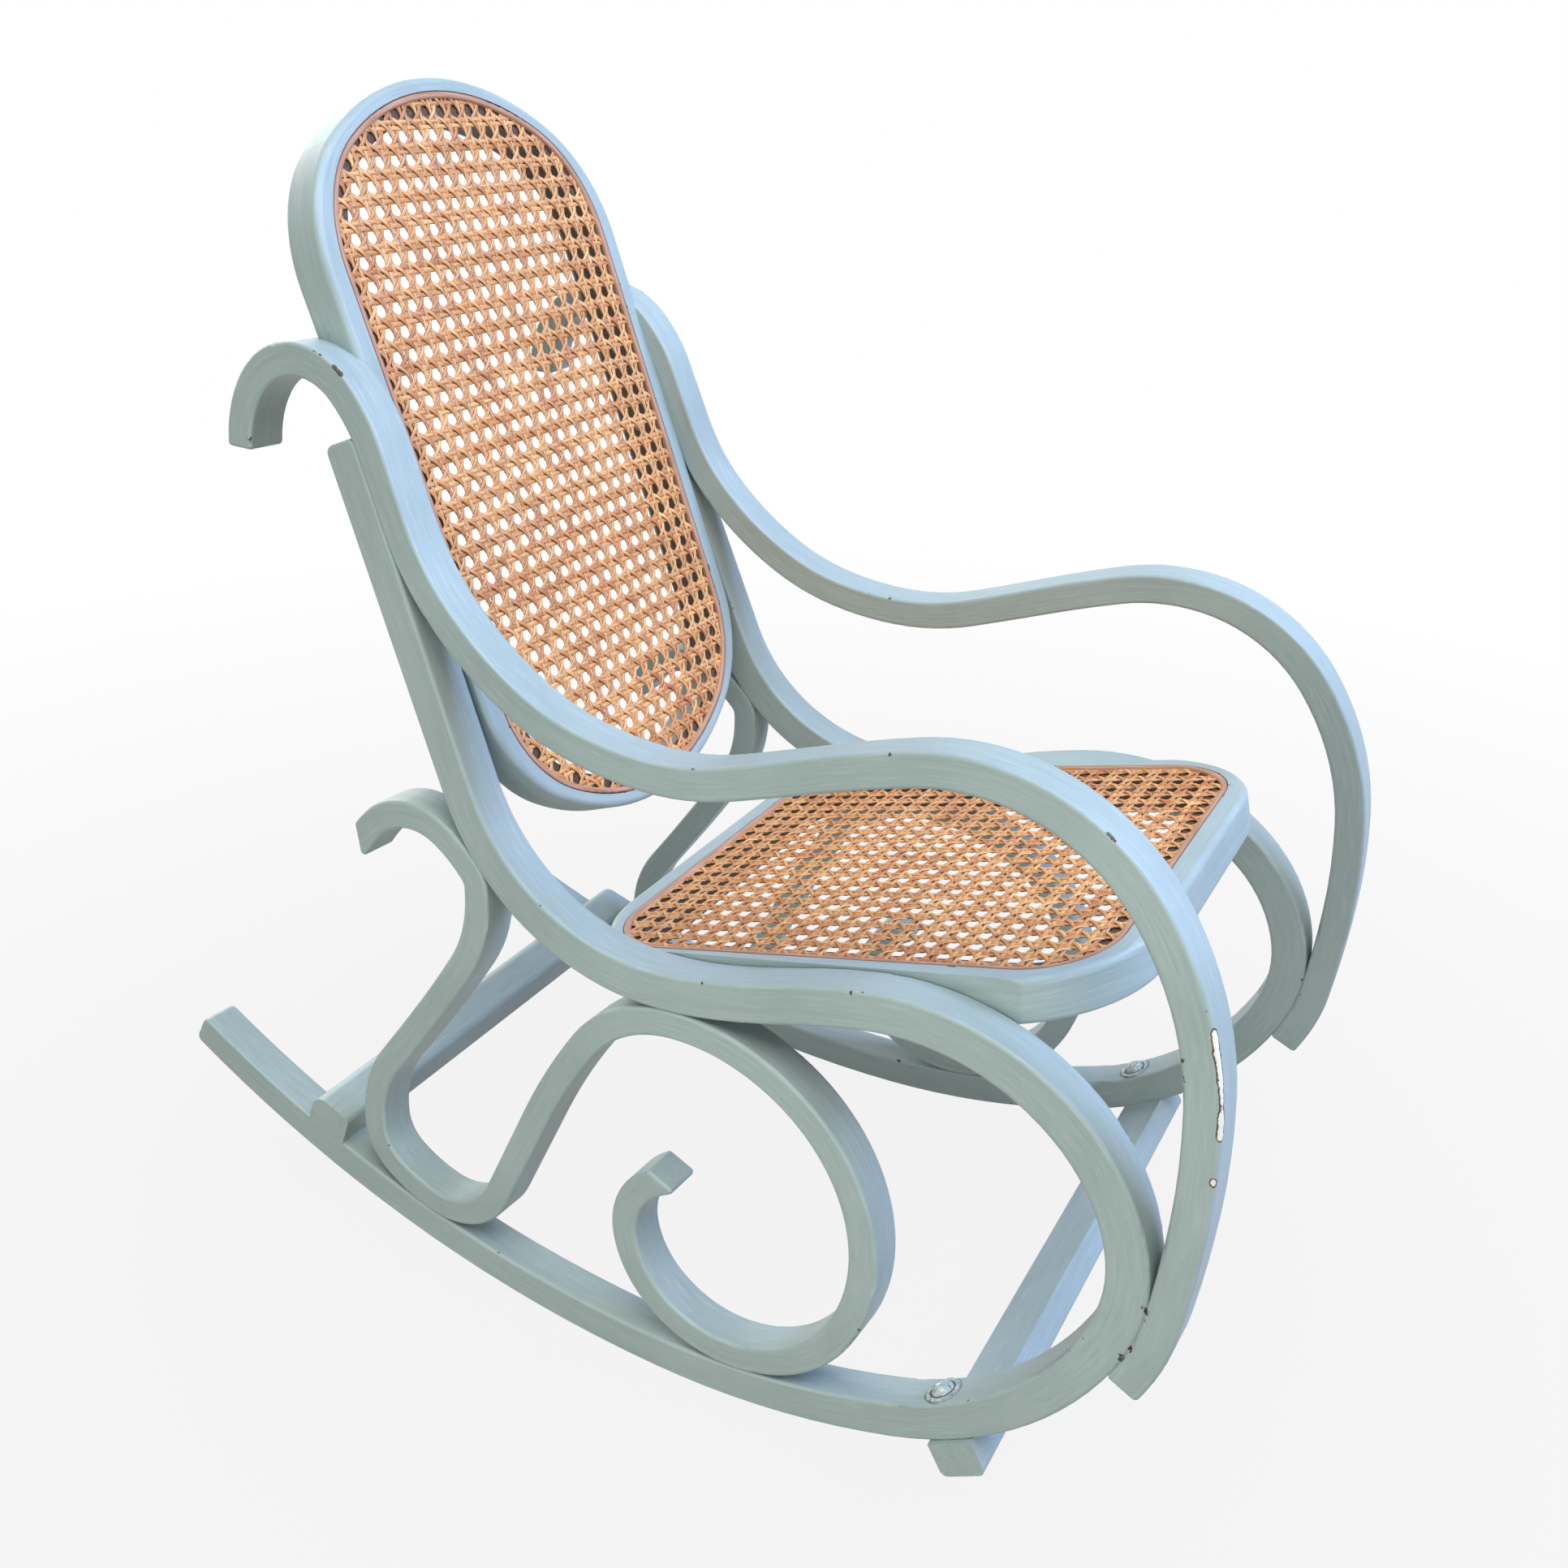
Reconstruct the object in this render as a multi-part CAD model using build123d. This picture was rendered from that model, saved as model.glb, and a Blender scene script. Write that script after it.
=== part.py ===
from build123d import *
import math
import os

# A child's bentwood rocking chair with a cane seat and a cane back.
# Millimetres. The floor is z = 0, the sitter faces -Y and the sitter's right hand is at -X.
os.makedirs("parts", exist_ok=True)

# The bent strips of a side frame
STRIP_WIDTH = 24
RAIL_THICK = 22
ARM_THICK = 18
SCROLL_THICK = 17
EDGE_ROUND = 2
TIP_ROUND = 2.5
RAIL_TIP_ROUND = 5

# How the two flat side frames are splayed, in degrees: wider at the front and at the floor
TOE_OUT = 2.06
CANT = 2.07

# The straight back post that ends each rocker rail
POST_LEAN = 70
POST_LENGTH = 197

# Where a strip bears on the rail it is planed flat by this much
BEARING_CUT = 0.6

# How far the whole chair is rocked so that it balances at rest
REST_TURN = -1.8

# Seat ring: the caned opening, its rim, its place and its tilt
SEAT_OPENING_WIDTH = 279
SEAT_SIDE_RIM = 6.5
SEAT_OPENING_LENGTH = 297
SEAT_CORNER = 46
SEAT_MIDDLE_Y = -121.5
SEAT_MIDDLE_Z = 284.5
SEAT_TILT = 12.4
SEAT_DEPTH = 23.5
SEAT_RIM = 13.5
SEAT_OUTER_CORNER = 72

# Back ring: the caned opening has straight sides and three-centred ends
BACK_OPENING_HEIGHT = 421
BACK_CORNER = 78
BACK_CROWN = 155
BACK_MIDDLE_Y = 133.5
BACK_MIDDLE_Z = 491.8
BACK_LEAN = 19.2
BACK_DEPTH = 24
BACK_RIM = 8
BACK_SIDE_RIM = 11
BACK_PLANED = 1.5

# Both rings: the rim's rounded crest, the land inside the groove, the cane and the spline
RIM_CREST = 1
RIM_ROUND = 4
REAR_ROUND = 3
LAND = 8
CANE_THICK = 1.6
SPLINE_WIDTH = 4
SPLINE_DEPTH = 6
SPLINE_PROUD = 1.2

# The open weave of the cane, as a plain grid of eight-sided gaps
MESH_PITCH = 19
MESH_GAP = 10

# Stretchers: size along the rocker, height off it, corner rounding and the end overhang
FRONT_STRETCHER_WIDTH = 28
FRONT_STRETCHER_HEIGHT = 20
FRONT_STRETCHER_OVERHANG = 2.5
REAR_STRETCHER_WIDTH = 30
REAR_STRETCHER_HEIGHT = 23
REAR_STRETCHER_CROWN = 10
STRETCHER_ROUND = 4

# Bolts of the front stretcher: domed heads on washers, nuts sunk in the stretcher's underside
BOLT_DIAMETER = 6
BOLT_HEAD_DIAMETER = 13
BOLT_HEAD_HEIGHT = 4.5
WASHER_DIAMETER = 20
WASHER_THICK = 1.6
WASHER_SEAT = 22
NUT_ACROSS_FLATS = 10
NUT_HEIGHT = 5
NUT_SINK_DIAMETER = 16
NUT_SINK_DEPTH = 7

# Wood screws
SCREW_DIAMETER = 4
SCREW_HEAD = 8
SCREW_HEAD_HEIGHT = 2.4
SCREW_SINK = 1
ARM_SCREW_INSET = 11


# Bent strips: stations along the middle line, joined by pairs of arcs
def at(y, z, angle):
    """A station: a point of the middle line and the way the strip runs there."""
    turn = math.radians(angle)
    return Vector(y, z), Vector(math.cos(turn), math.sin(turn))


def with_meetings(stations):
    """The stations, with the point between each two where their pair of arcs meets."""
    line = [stations[0]]
    for (start, out), (end, into) in zip(stations, stations[1:]):
        chord = end - start
        both = chord.dot(out + into)
        spread = 2 * (1 - out.dot(into))
        if spread < 1e-9:
            reach = chord.dot(chord) / (2 * both)
        else:
            reach = (math.sqrt(both**2 + spread * chord.dot(chord)) - both) / spread
        meeting = (start + end + (out - into) * reach) / 2
        half = (meeting - start).normalized()
        line += [(meeting, half * 2 * half.dot(out) - out), (end, into)]
    return line


def left_turn(way):
    return Vector(-way.Y, way.X)


def shifted(line, offset):
    """The same line moved sideways, to its left when the offset is positive."""
    return [(point + left_turn(way) * offset, way) for point, way in line]


def arcs(line):
    edges = []
    for (start, out), (end, _) in zip(line, line[1:]):
        if abs(out.cross(end - start).Z) < 1e-4:
            edges.append(Edge.make_line(start, end))
        else:
            edges.append(Edge.make_tangent_arc(start, out, end))
    return edges


def bent_strip(stations, thickness, tip_round, mitres=()):
    """A flat strip bent on edge, drawn in the side's own plane, with its long edges eased.

    Its ends are cut square, or along each mitre, which takes away the end that lies on its right.
    """
    line = with_meetings(stations)
    left = shifted(line, thickness / 2)
    right = shifted(line, -thickness / 2)
    ends = [Edge.make_line(a[0][0], b[0][0]) for a, b in ((left, right), (left[::-1], right[::-1]))]
    outline = make_face(arcs(left) + arcs(right) + ends)
    cuts = list(mitres) or [(line[0][0], left_turn(line[0][1])), (line[-1][0], -left_turn(line[-1][1]))]
    waste = Rectangle(4 * thickness, 2 * thickness, align=(Align.CENTER, Align.MAX))
    for place, way in mitres:
        outline -= Plane(origin=place, x_dir=way) * waste
    corners = [corner for corner in outline.vertices() for place, way in cuts
               if abs((Vector(corner) - place).cross(way).Z) < 1e-3
               and (Vector(corner) - place).length < 2 * thickness]
    outline = fillet(corners, tip_round)
    blank = extrude(outline, STRIP_WIDTH)
    return fillet(blank.faces().filter_by(Axis.Z).edges(), EDGE_ROUND)


# The rocker rail, from the rear tip along the floor, up the front and back along the seat
POST_FOOT = at(94, 339, POST_LEAN)
POST_TOP = (POST_FOOT[0] + POST_FOOT[1] * POST_LENGTH, POST_FOOT[1])
rail_stations = [
    at(338.7, 112, 210),
    at(-33, RAIL_THICK / 2, 180),
    at(-294, 133, 116),
    at(-304, 192, 80),
    at(-202, 284, 7),
    at(-114, 271.5, -17),
    at(-30, 256, -1),
    POST_FOOT,
    POST_TOP,
]
rail_line = Wire(arcs(with_meetings(rail_stations)))


def rail_at(distance):
    """The rail's middle point and direction, at a distance along it from its rear tip."""
    place = rail_line.position_at(distance, PositionMode.LENGTH)
    way = rail_line.tangent_at(distance, PositionMode.LENGTH)
    return place, way


def bearing(distance, hand, thickness, way):
    """A station of a strip that lies against the rail, on its left or right, running with it or back."""
    place, along = rail_at(distance)
    gap = (RAIL_THICK + thickness) / 2 - BEARING_CUT
    return place + left_turn(along) * hand * gap, along * way


def from_post_top(y, z, angle):
    """A station placed from the top end of the post."""
    place, way = at(y, z, angle)
    return place + POST_TOP[0], way


# Distances along the rail where the other pieces meet it
LEFT, RIGHT = 1, -1
REAR_STRETCHER_AT = 119
SCROLL_REAR_AT = 213
SCROLL_FRONT_AT = 446
FRONT_STRETCHER_AT = 580.5
ARM_TIP_AT = 688
ARM_FOOT_AT = 728
SCROLL_SEAT_AT = 1064
SCROLL_POST_AT = 1196
ARM_HIGH_AT = rail_line.length - 11
ARM_LOW_AT = rail_line.length - 49

# The arm, from its rear curl over the post, forward, and down onto the front of the rocker
arm_stations = [
    from_post_top(75.1, -11.2, 93),
    from_post_top(28.6, 40.2, 179),
    bearing(ARM_HIGH_AT, LEFT, ARM_THICK, -1),
    bearing(ARM_LOW_AT, LEFT, ARM_THICK, -1),
    at(55, 402, 212),
    at(-30, 378, 182),
    at(-131, 400.5, 162),
    at(-221, 416.5, 187),
    at(-329, 284, 265),
    bearing(ARM_FOOT_AT, LEFT, ARM_THICK, -1),
    bearing(ARM_TIP_AT, LEFT, ARM_THICK, -1),
]

# The scroll, from its rear curl down to the rocker, over under the seat and round its loop
scroll_stations = [
    at(179.5, 283.2, 124),
    at(134, 317, 177),
    bearing(SCROLL_POST_AT, RIGHT, SCROLL_THICK, -1),
    at(86, 271, 275),
    at(127, 192.5, 307),
    at(182, 91, 268),
    bearing(SCROLL_REAR_AT, RIGHT, SCROLL_THICK, 1),
    at(51, 143, 116),
    bearing(SCROLL_SEAT_AT, RIGHT, SCROLL_THICK, -1),
    at(-166, 137, 266),
    bearing(SCROLL_FRONT_AT, RIGHT, SCROLL_THICK, -1),
    at(-12, 88, 84),
    at(-25, 124.2, 135),
    at(-47.5, 139.2, 150),
]

# Both its ends are cut on the slant
scroll_mitres = [
    at(172.5, 282.5, 82),
    at(-29.4, 138.6, 204.5),
]

rail = bent_strip(rail_stations, RAIL_THICK, RAIL_TIP_ROUND)
arm = bent_strip(arm_stations, ARM_THICK, TIP_ROUND) - rail
scroll = bent_strip(scroll_stations, SCROLL_THICK, TIP_ROUND, scroll_mitres) - rail


# Fasteners
def wood_screw(length):
    """Countersunk screw along +Z, its flat head at z = 0."""
    half = SCREW_DIAMETER / 2
    profile = Polyline((0, 0), (SCREW_HEAD / 2, 0), (half, SCREW_HEAD_HEIGHT),
                       (half, length - SCREW_DIAMETER), (0, length), close=True)
    return revolve(Plane.XZ * make_face(profile), Axis.Z)


def screw_room(length):
    """What a screw takes out of the wood: itself and the sinking above its head."""
    sinking = Cylinder(SCREW_HEAD / 2, 3 * SCREW_SINK, align=(Align.CENTER, Align.CENTER, Align.MAX))
    return wood_screw(length) + sinking


def rail_screw(distance, hand, thickness, from_rail):
    """Place and length of a screw that holds a piece to the rail, sunk on one of their far faces."""
    middle, along = rail_at(distance)
    outward = left_turn(along) * hand
    if from_rail:
        start = middle - outward * (RAIL_THICK / 2 - SCREW_SINK)
        length = RAIL_THICK + thickness / 2 - SCREW_SINK
        way = outward
    else:
        start = middle + outward * (RAIL_THICK / 2 + thickness - BEARING_CUT - SCREW_SINK)
        length = thickness + RAIL_THICK / 2 - SCREW_SINK
        way = -outward
    return Plane(origin=(start.X, start.Y, STRIP_WIDTH / 2), z_dir=(way.X, way.Y, 0)), length


scroll_rocker = [rail_screw(SCROLL_REAR_AT, RIGHT, SCROLL_THICK, True),
                 rail_screw(SCROLL_FRONT_AT, RIGHT, SCROLL_THICK, True)]
scroll_seat = [rail_screw(SCROLL_SEAT_AT, RIGHT, SCROLL_THICK, False)]
scroll_post = [rail_screw(SCROLL_POST_AT, RIGHT, SCROLL_THICK, False)]
arm_post = [rail_screw(ARM_LOW_AT, LEFT, ARM_THICK, True),
            rail_screw(ARM_HIGH_AT - ARM_SCREW_INSET, LEFT, ARM_THICK, True)]
arm_rocker = [rail_screw((ARM_TIP_AT + ARM_FOOT_AT) / 2, LEFT, ARM_THICK, True)]
rear_stretcher_hold = [rail_screw(REAR_STRETCHER_AT, RIGHT, REAR_STRETCHER_HEIGHT, True)]


# The right side frame stands splayed; the left one mirrors it
tan_toe = math.tan(math.radians(TOE_OUT))
tan_cant = math.tan(math.radians(CANT))
slant = math.sqrt(1 + tan_toe**2 + tan_cant**2)


def narrowing(y, z):
    """How much nearer the middle a side frame is at this place than at the origin."""
    return tan_toe * y + tan_cant * z


seat_clear = SEAT_OPENING_WIDTH / 2 + SEAT_SIDE_RIM
half_width = seat_clear + STRIP_WIDTH * slant + narrowing(SEAT_MIDDLE_Y, SEAT_MIDDLE_Z)
back_clear = half_width - STRIP_WIDTH * slant - narrowing(BACK_MIDDLE_Y, BACK_MIDDLE_Z)
back_half_opening = back_clear - BACK_SIDE_RIM
side = Plane(origin=(-half_width, 0, 0), x_dir=(tan_toe, 1, 0), z_dir=(1, -tan_toe, -tan_cant))


def left_of(shape):
    return mirror(shape, about=Plane.YZ)


def both_sides(shapes):
    return [one for shape in shapes for one in (shape, left_of(shape))]


def screws(seats):
    return [side * place * wood_screw(length) for place, length in seats]


def rooms(seats):
    return [side * place * screw_room(length) for place, length in seats]


def trimmed(shape, depth):
    """The shape cut off at both sides, at a depth inward of the side frames' outer faces."""
    face = side.offset(depth)
    other = Plane(origin=(-face.origin.X, face.origin.Y, face.origin.Z),
                  z_dir=(-face.z_dir.X, face.z_dir.Y, face.z_dir.Z))
    return split(split(shape, face, Keep.TOP), other, Keep.TOP)


# Caned rings: drawn flat, the cane's top at z = 0
def cane_sheet(outline):
    """A panel of cane with its gaps clear of the land it rests on, and with a web at its middle."""
    room = outline(-SPLINE_WIDTH - LAND - MESH_GAP / 2).face()
    half = room.bounding_box().size / 2
    across = 2 * int(half.X / MESH_PITCH + 0.5)
    along = 2 * int(half.Y / MESH_PITCH + 0.5)
    grid = GridLocations(MESH_PITCH, MESH_PITCH, across, along)
    gap = RegularPolygon(MESH_GAP / 2, 8, major_radius=False, rotation=22.5)
    gaps = [(place * gap).face().outer_wire() for place in grid if room.is_inside(place.position)]
    return Face(outline(-SPLINE_WIDTH).face().outer_wire(), gaps)


def ring_pieces(outline, outside, depth):
    """Frame, cane and spline of a ring whose caned opening is outline(0)."""
    block = Pos(0, 0, -depth) * extrude(outside, depth + RIM_CREST)
    block = fillet(block.faces().sort_by(Axis.Z)[-1].edges(), RIM_ROUND)
    block = fillet(block.faces().sort_by(Axis.Z)[0].edges(), REAR_ROUND)
    strip = outline(0) - outline(-SPLINE_WIDTH)
    groove = Pos(0, 0, -SPLINE_DEPTH) * extrude(strip, SPLINE_DEPTH + RIM_CREST)
    bed = Pos(0, 0, -CANE_THICK) * extrude(outline(0), CANE_THICK + RIM_CREST)
    opening = Pos(0, 0, -depth) * extrude(outline(-SPLINE_WIDTH - LAND), depth + RIM_CREST)
    frame = block - groove - bed - opening
    cane = Pos(0, 0, -CANE_THICK) * extrude(cane_sheet(outline), CANE_THICK, dir=(0, 0, 1))
    reed = Pos(0, 0, -SPLINE_DEPTH) * extrude(strip, SPLINE_DEPTH + SPLINE_PROUD)
    reed = fillet(reed.faces().sort_by(Axis.Z)[-1].edges(), SPLINE_WIDTH / 2 - 0.5)
    return frame, cane, reed


def seat_outline(grow, corner=SEAT_CORNER):
    return RectangleRounded(SEAT_OPENING_WIDTH + 2 * grow, SEAT_OPENING_LENGTH + 2 * grow, corner + grow)


def back_outline(grow, side_grow=0):
    """Straight sides, a corner arc at each end of them and a flatter crown arc between."""
    corner = BACK_CORNER + grow
    crown = BACK_CROWN + grow
    across = back_half_opening + grow + side_grow
    top = BACK_OPENING_HEIGHT / 2 + grow
    inset = Vector(across - corner, math.sqrt((crown - corner) ** 2 - (across - corner) ** 2))
    middle = Vector(0, top - crown)
    join = middle + inset.normalized() * crown
    shoulder = middle + inset + Vector(corner, 0)
    side_line = Line((shoulder.X, 0), shoulder)
    corner_arc = TangentArc(shoulder, join, tangent=(0, 1))
    crown_arc = TangentArc(join, (0, top), tangent=corner_arc % 1)
    quarter = Curve() + [side_line, corner_arc, crown_arc]
    half = quarter + mirror(quarter, about=Plane.YZ)
    return make_face(half + mirror(half, about=Plane.XZ))


seat_turn = math.radians(SEAT_TILT)
seat_plane = Plane(origin=(0, SEAT_MIDDLE_Y, SEAT_MIDDLE_Z), x_dir=(1, 0, 0),
                   z_dir=(0, math.sin(seat_turn), math.cos(seat_turn)))
back_turn = math.radians(BACK_LEAN)
back_plane = Plane(origin=(0, BACK_MIDDLE_Y, BACK_MIDDLE_Z), x_dir=(1, 0, 0),
                   z_dir=(0, -math.cos(back_turn), math.sin(back_turn)))
seat_outside = seat_outline(SEAT_RIM, SEAT_OUTER_CORNER - SEAT_RIM)
back_outside = back_outline(BACK_RIM, BACK_SIDE_RIM + BACK_PLANED - BACK_RIM)
seat_pieces = ring_pieces(seat_outline, seat_outside, SEAT_DEPTH)
back_pieces = ring_pieces(back_outline, back_outside, BACK_DEPTH)
seat_frame, seat_cane, seat_spline = [seat_plane * piece for piece in seat_pieces]
back_frame, back_cane, back_spline = [back_plane * piece for piece in back_pieces]


# Ring screws run from the inner wall of the ring, under the cane, outward into the rail
SEAT_SCREWS = (-80, 70)
BACK_SCREWS = (-50, 0)
RING_SCREW_GRIP = 13


def ring_screws(plane, half_opening, depth, places):
    """Seats at the right of a ring: along its middle, half way down its depth."""
    wall = half_opening - SPLINE_WIDTH - LAND
    seats = []
    for along in places:
        start = plane.from_local_coords((-wall - SCREW_SINK, along, -depth / 2 + RIM_CREST / 2))
        rail_face = side.offset(STRIP_WIDTH).to_local_coords(start).Z
        seats.append((Plane(origin=start, z_dir=(-1, 0, 0)), rail_face + RING_SCREW_GRIP))
    return seats


seat_hold = ring_screws(seat_plane, SEAT_OPENING_WIDTH / 2, SEAT_DEPTH, SEAT_SCREWS)
back_hold = ring_screws(back_plane, back_half_opening, BACK_DEPTH, BACK_SCREWS)
seat_screws = both_sides([place * wood_screw(length) for place, length in seat_hold])
back_screws = both_sides([place * wood_screw(length) for place, length in back_hold])
seat_rooms = both_sides([place * screw_room(length) for place, length in seat_hold])
back_rooms = both_sides([place * screw_room(length) for place, length in back_hold])
seat_frame = trimmed(seat_frame, STRIP_WIDTH) - seat_rooms
back_frame = back_frame - both_sides([side * rail, side * arm]) - back_rooms


# Stretchers lie square across the rockers and are housed over them
HOUSING = 1


def rocker_section(distance):
    """A plane square to X at the rail's middle: local x runs to the rear, local y up off the rocker."""
    place, along = rail_at(distance)
    middle = side.from_local_coords((place.X, place.Y, STRIP_WIDTH / 2))
    return Plane(origin=(0, middle.Y, middle.Z), x_dir=(0, -along.X, -along.Y), z_dir=(1, 0, 0))


def rounded_corner(section, x, y, radius):
    return fillet(section.vertices().sort_by_distance((x, y, 0))[0], radius)


rear_low = RAIL_THICK / 2 - HOUSING
rear_high = rear_low + REAR_STRETCHER_HEIGHT
rear_block = Rectangle(REAR_STRETCHER_WIDTH, REAR_STRETCHER_HEIGHT)
rear_block = Pos(0, (rear_low + rear_high) / 2) * rear_block
rear_block = rounded_corner(rear_block, REAR_STRETCHER_WIDTH, rear_high, REAR_STRETCHER_CROWN)
rear_block = rounded_corner(rear_block, -REAR_STRETCHER_WIDTH, rear_high, STRETCHER_ROUND)
rear_stretcher = extrude(rocker_section(REAR_STRETCHER_AT) * rear_block, half_width * 1.5, both=True)

front_high = HOUSING - RAIL_THICK / 2
front_low = front_high - FRONT_STRETCHER_HEIGHT
front_block = Rectangle(FRONT_STRETCHER_WIDTH, FRONT_STRETCHER_HEIGHT)
front_block = Pos(0, (front_high + front_low) / 2) * front_block
for end in (-FRONT_STRETCHER_WIDTH, FRONT_STRETCHER_WIDTH):
    front_block = rounded_corner(front_block, end, front_low, STRETCHER_ROUND)
front_stretcher = extrude(rocker_section(FRONT_STRETCHER_AT) * front_block, half_width * 1.5, both=True)


# A bolt goes down through the rocker and the front stretcher, on the rail's own square line
def domed(diameter, height):
    """A dome that stands on z = 0."""
    radius = (diameter**2 / 4 + height**2) / (2 * height)
    return split(Pos(0, 0, height - radius) * Sphere(radius), Plane.XY, Keep.TOP)


def rod(diameter, low, high):
    return Pos(0, 0, (low + high) / 2) * Cylinder(diameter / 2, high - low)


bolt_middle, bolt_along = rail_at(FRONT_STRETCHER_AT)
bolt_place = side * Plane(origin=(bolt_middle.X, bolt_middle.Y, STRIP_WIDTH / 2),
                          z_dir=(bolt_along.Y, -bolt_along.X, 0))
washer_low = RAIL_THICK / 2 - BEARING_CUT
head_low = washer_low + WASHER_THICK
nut_high = front_low + NUT_SINK_DEPTH
nut_low = nut_high - NUT_HEIGHT
shank = rod(BOLT_DIAMETER, nut_low - 1, head_low)
hexagon = RegularPolygon(NUT_ACROSS_FLATS / 2, 6, major_radius=False)
hexagon = Pos(0, 0, nut_low) * extrude(hexagon, NUT_HEIGHT)
bolt = bolt_place * (shank + Pos(0, 0, head_low) * domed(BOLT_HEAD_DIAMETER, BOLT_HEAD_HEIGHT))
washer = bolt_place * (rod(WASHER_DIAMETER, washer_low, head_low) - shank)
washer_seat = bolt_place * rod(WASHER_SEAT, washer_low, head_low + WASHER_SEAT / 4)
nut = bolt_place * (chamfer(hexagon.faces().sort_by(Axis.Z)[0].edges(), NUT_HEIGHT / 8) - shank)
nut_sink = bolt_place * rod(NUT_SINK_DIAMETER, nut_high - FRONT_STRETCHER_HEIGHT, nut_high)


# The placed strips with their holes
right_rail = side * rail
right_rail -= rooms(scroll_rocker + scroll_seat + scroll_post + arm_post + arm_rocker + rear_stretcher_hold)
right_rail -= seat_rooms + back_rooms + [bolt, washer_seat]
right_arm = side * arm - rooms(arm_post + arm_rocker)
right_scroll = side * scroll - rooms(scroll_rocker + scroll_seat + scroll_post)
rails = [side * rail, left_of(side * rail)]
bolts = both_sides([bolt])
rear_stretcher = trimmed(rear_stretcher, 0) - rails - both_sides(rooms(rear_stretcher_hold))
front_stretcher = trimmed(front_stretcher, -FRONT_STRETCHER_OVERHANG) - rails - bolts - both_sides([nut_sink])

nodes = {
    "right_rocker_rail": [right_rail],
    "left_rocker_rail": [left_of(right_rail)],
    "right_arm": [right_arm],
    "left_arm": [left_of(right_arm)],
    "right_scroll": [right_scroll],
    "left_scroll": [left_of(right_scroll)],
    "seat_frame": [seat_frame],
    "seat_cane": [seat_cane],
    "seat_spline": [seat_spline],
    "back_frame": [back_frame],
    "back_cane": [back_cane],
    "back_spline": [back_spline],
    "front_stretcher": [front_stretcher],
    "rear_stretcher": [rear_stretcher],
    "stretcher_bolts": bolts,
    "stretcher_washers": both_sides([washer]),
    "stretcher_nuts": both_sides([nut]),
    "rear_stretcher_screws": both_sides(screws(rear_stretcher_hold)),
    "scroll_to_rocker_screws": both_sides(screws(scroll_rocker)),
    "scroll_to_seat_rail_screws": both_sides(screws(scroll_seat)),
    "scroll_to_post_screws": both_sides(screws(scroll_post)),
    "arm_to_post_screws": both_sides(screws(arm_post)),
    "arm_to_rocker_screws": both_sides(screws(arm_rocker)),
    "seat_screws": seat_screws,
    "back_screws": back_screws,
}

# Stand the chair at rest: its lowest edge on the floor and its box centred
every_solid = [solid for shapes in nodes.values() for shape in shapes for solid in shape.solids()]
box = (Rot(REST_TURN, 0, 0) * Compound(every_solid)).bounding_box()
rest = Pos(-box.center().X, -box.center().Y, -box.min.Z) * Rot(REST_TURN, 0, 0)
for name, shapes in nodes.items():
    solids = [rest * solid for shape in shapes for solid in shape.solids()]
    export_step(solids[0] if len(solids) == 1 else Compound(solids), f"parts/{name}.step")
    print(name, len(solids), round(sum(solid.volume for solid in solids)))
print("box", box.size)
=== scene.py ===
import math
import random

import bpy
import numpy as np
from mathutils import Matrix, Vector
from mathutils.kdtree import KDTree


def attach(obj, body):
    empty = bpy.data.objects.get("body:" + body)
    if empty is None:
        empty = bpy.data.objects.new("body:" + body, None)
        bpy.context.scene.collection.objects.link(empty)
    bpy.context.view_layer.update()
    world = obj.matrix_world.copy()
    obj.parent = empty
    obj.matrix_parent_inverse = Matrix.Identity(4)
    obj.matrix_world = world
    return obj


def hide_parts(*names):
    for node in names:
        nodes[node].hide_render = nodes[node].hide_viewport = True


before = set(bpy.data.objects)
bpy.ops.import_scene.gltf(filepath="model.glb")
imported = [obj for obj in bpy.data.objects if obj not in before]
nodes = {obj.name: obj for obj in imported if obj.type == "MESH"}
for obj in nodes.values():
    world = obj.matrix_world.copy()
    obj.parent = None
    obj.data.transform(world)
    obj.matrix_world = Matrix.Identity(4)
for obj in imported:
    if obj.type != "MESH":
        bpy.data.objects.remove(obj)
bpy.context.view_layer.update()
MM = 0.001

# Where the photograph was taken from
CAMERA_PLACE = Vector((-0.7697, -0.426417, 0.717653))
CAMERA_LOOK = Vector((0.8001, 0.4223, -0.4260))
CAMERA_UP = Vector((0, 0.0314, 0.9995))
CAMERA_LENS = 36.45
SENSOR_WIDTH = 36

# The floor: how far it reaches, and how white it is seen, near the chair and from some way off, in metres
FLOOR_COLOUR = (0.16, 0.13, 0.11, 1)
FLOOR_REACH = 30
FLOOR_NEAR = 0.3
FLOOR_OFF = 1.5
FLOOR_NEAR_WHITE = 0.88

# The light: the even light from all round, and each lamp's place, size, power and tint
AIR_TINT = (1.0, 0.98, 1.0, 1)
AIR_STRENGTH = 0.20
LAMP_TARGET = Vector((0, 0, 0.35))
LAMPS = {
    "window": ((0.7, -2.2, 2.5), 2.0, 128, (0.46, 0.61, 1.0)),
    "overhead": ((-1.0, -0.6, 3.0), 2.0, 57, (0.98, 1.0, 0.92)),
    "fill": ((-1.1, -0.2, 0.05), 1.0, 9.8, (0.96, 1.0, 0.89)),
    "behind": ((1.0, 2.6, 1.2), 2.0, 50, (0.95, 1.0, 0.98)),
}

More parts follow.
